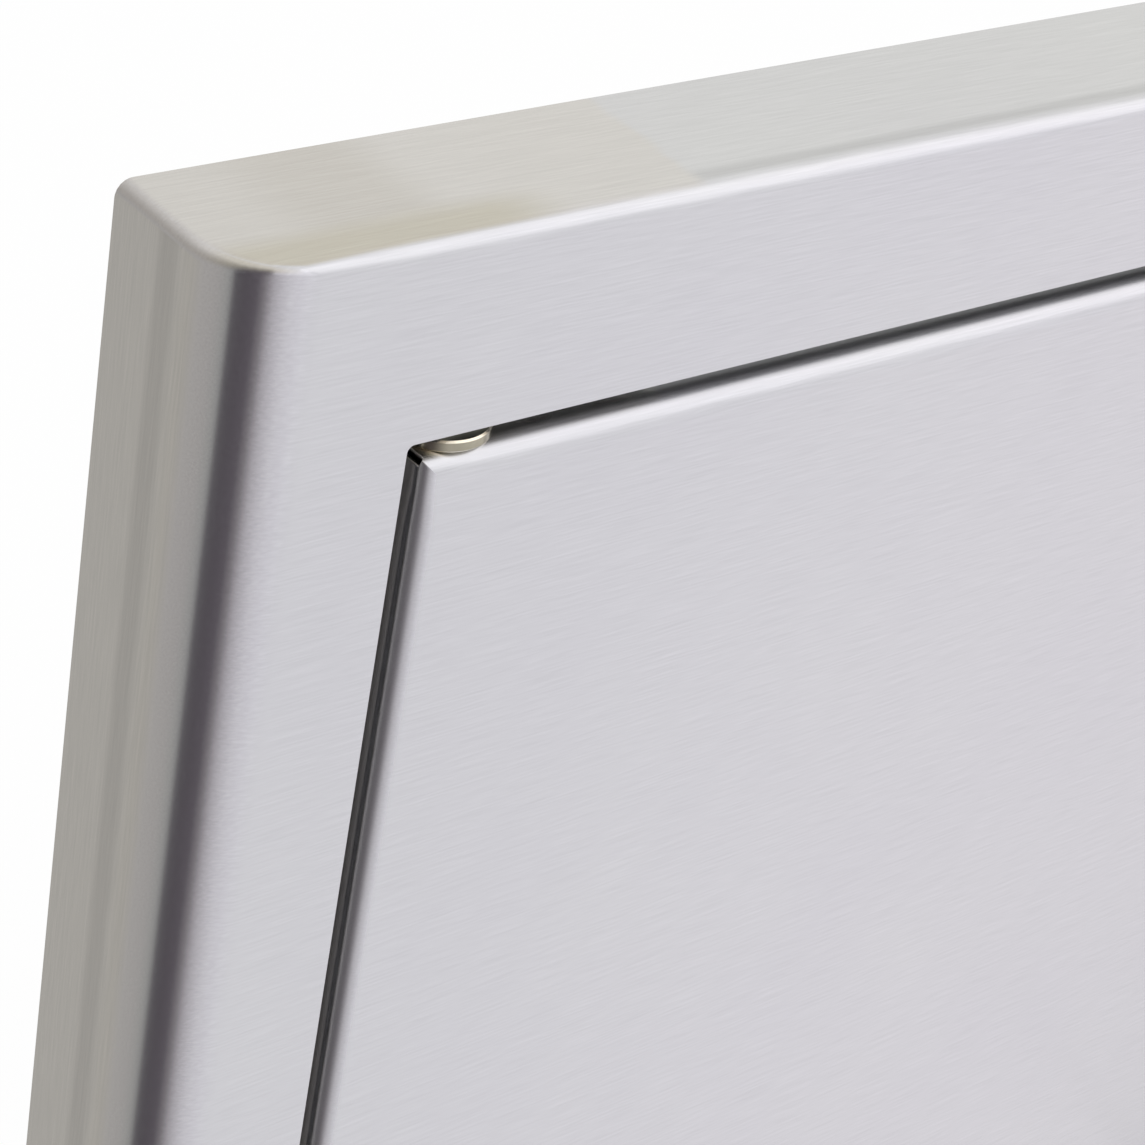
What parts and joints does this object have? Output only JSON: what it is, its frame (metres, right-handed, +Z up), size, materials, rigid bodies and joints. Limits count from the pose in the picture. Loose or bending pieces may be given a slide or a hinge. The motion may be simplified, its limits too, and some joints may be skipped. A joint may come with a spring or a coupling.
{
  "type": "outdoor kitchen access door",
  "caption": "Stainless access door for a barbecue island: a folded, round-sided bezel with a sleeve behind it and a flush inset door that swings out on pivot pins, with a bar handle.",
  "frame": {"origin": "centre of the door opening, on the plane of the bezel's back that rests against the island", "axes": "+X right seen from the front, +Y into the island, +Z up; the face is at -Y"},
  "size_m": [0.508, 0.129, 0.6858],
  "materials": {
    "brushed_stainless": "long-grain brushed stainless, grain along X",
    "mill_stainless": "dull cold-rolled mill finish",
    "handle_stainless": "fine satin turned round the bar",
    "zinc_steel": "bright zinc plate",
    "machined_stainless": "machined, semi-bright",
    "nickel_plate": "warm nickel plate, lightly tarnished",
    "pole_steel": "ground steel",
    "bush_nylon": "natural nylon",
    "catch_plastic": "moulded, fine matt texture",
    "ferrite": "sintered ferrite, dull",
    "black_rubber": "matt"
  },
  "bodies": {
    "frame": {"bezel": "brushed_stainless", "sleeve_left": "mill_stainless", "sleeve_right": "mill_stainless", "sleeve_top": "mill_stainless", "sleeve_bottom": "mill_stainless", "stop_strip": "mill_stainless", "upper_pivot_plate": "zinc_steel", "lower_pivot_plate": "zinc_steel", "plate_nuts": "zinc_steel", "catch_nuts": "zinc_steel", "upper_pivot_pin": "machined_stainless", "lower_pivot_pin": "machined_stainless", "plate_screws": "machined_stainless", "catch_screws": "machined_stainless", "lower_washer": "nickel_plate", "catch_poles": "pole_steel", "upper_catch_housing": "catch_plastic", "lower_catch_housing": "catch_plastic", "catch_magnets": "ferrite", "rubber_bumpers": "black_rubber"},
    "door": {"door_skin": "brushed_stainless", "door_liner": "mill_stainless", "door_stiffener": "mill_stainless", "upper_door_doubler": "zinc_steel", "lower_door_doubler": "zinc_steel", "upper_bush": "bush_nylon", "lower_bush": "bush_nylon", "upper_washer": "nickel_plate", "upper_striker": "zinc_steel", "lower_striker": "zinc_steel", "striker_rivets": "machined_stainless", "handle_bar": "handle_stainless", "upper_handle_post": "handle_stainless", "lower_handle_post": "handle_stainless", "handle_screws": "machined_stainless", "handle_spacers": "zinc_steel"}
  },
  "joints": [
    {"name": "door_swing", "type": "hinge", "parent": "frame", "child": "door", "pos_m": [-0.2025, -0.0261, 0], "axis": [0, 0, -1], "range_deg": [0, 100]}
  ]
}
